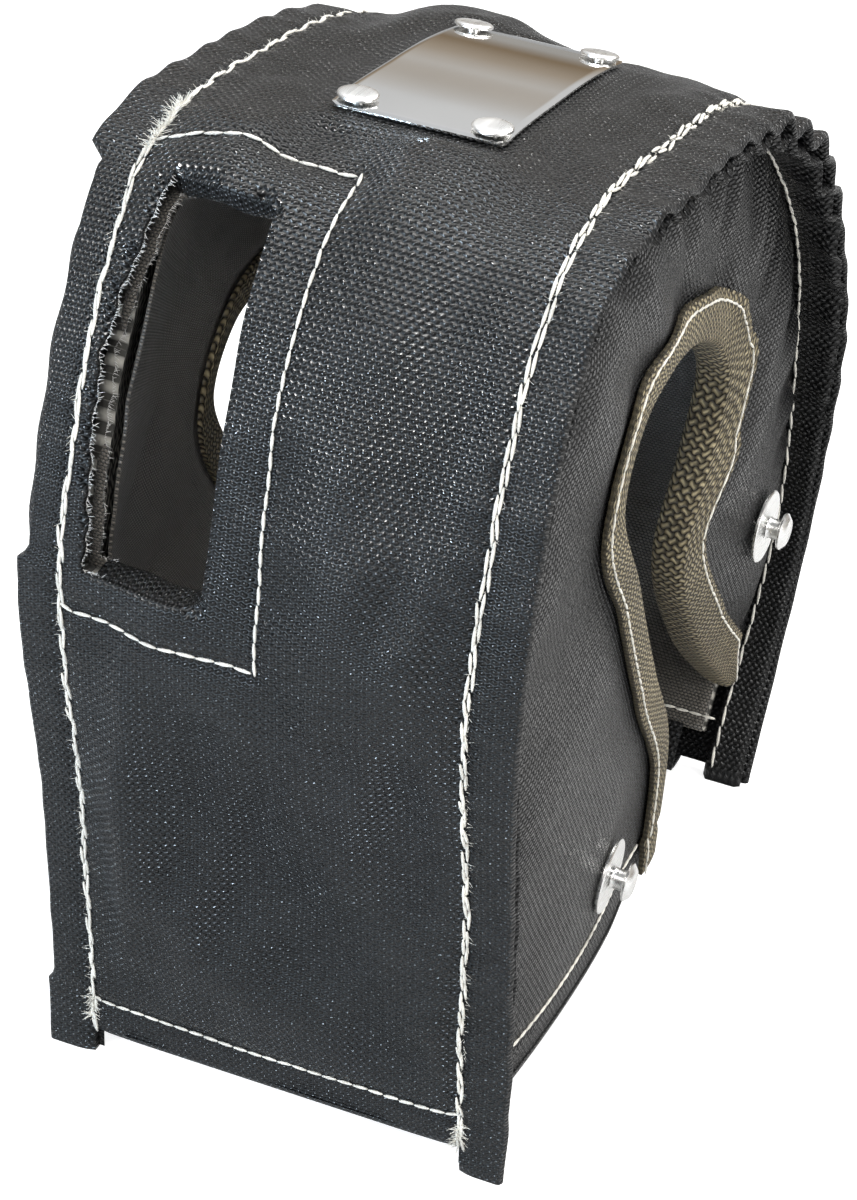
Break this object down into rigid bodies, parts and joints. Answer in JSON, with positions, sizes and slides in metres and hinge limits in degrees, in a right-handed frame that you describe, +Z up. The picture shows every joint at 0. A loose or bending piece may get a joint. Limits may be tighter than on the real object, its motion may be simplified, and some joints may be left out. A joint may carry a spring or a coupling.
{
  "type": "turbo heat blanket",
  "caption": "Padded black woven heat blanket for a turbine housing, with window, side openings, olive tape edges and lacing anchors.",
  "frame": {"origin": "on the ground under the middle of the blanket as it stands on its seam ends", "axes": "+Z up, +X to the right across the band, -Y towards the face with the window"},
  "size_m": [0.1188, 0.2562, 0.2405],
  "materials": {
    "coated_cloth": "satin",
    "lining_cloth": "satin",
    "batt_fibre": "matte",
    "olive_tape": "matte",
    "cream_thread": "matte",
    "polished_plate": "polished",
    "anchor_metal": "satin"
  },
  "bodies": {
    "root": {"band_outer_cloth": "coated_cloth", "band_batt": "batt_fibre", "band_lining": "lining_cloth", "front_hem_thread": "cream_thread", "rear_hem_thread": "cream_thread", "window_thread": "cream_thread", "name_plate": "polished_plate", "plate_rivet_front_left": "anchor_metal", "plate_rivet_front_right": "anchor_metal", "plate_rivet_rear_left": "anchor_metal", "plate_rivet_rear_right": "anchor_metal", "right_panel_cloth": "coated_cloth", "right_panel_batt": "batt_fibre", "right_panel_lining": "lining_cloth", "right_edge_binding": "olive_tape", "right_seam_thread": "cream_thread", "right_panel_hem_thread": "cream_thread", "right_binding_thread": "cream_thread", "right_front_anchor_washer": "anchor_metal", "right_front_clinch_washer": "anchor_metal", "right_front_anchor_post": "anchor_metal", "right_rear_anchor_washer": "anchor_metal", "right_rear_clinch_washer": "anchor_metal", "right_rear_anchor_post": "anchor_metal", "left_panel_cloth": "coated_cloth", "left_panel_batt": "batt_fibre", "left_panel_lining": "lining_cloth", "left_edge_binding": "olive_tape", "left_seam_thread": "cream_thread", "left_panel_hem_thread": "cream_thread", "left_binding_thread": "cream_thread", "left_front_anchor_washer": "anchor_metal", "left_front_clinch_washer": "anchor_metal", "left_front_anchor_post": "anchor_metal", "left_rear_anchor_washer": "anchor_metal", "left_rear_clinch_washer": "anchor_metal", "left_rear_anchor_post": "anchor_metal"}
  },
  "joints": []
}
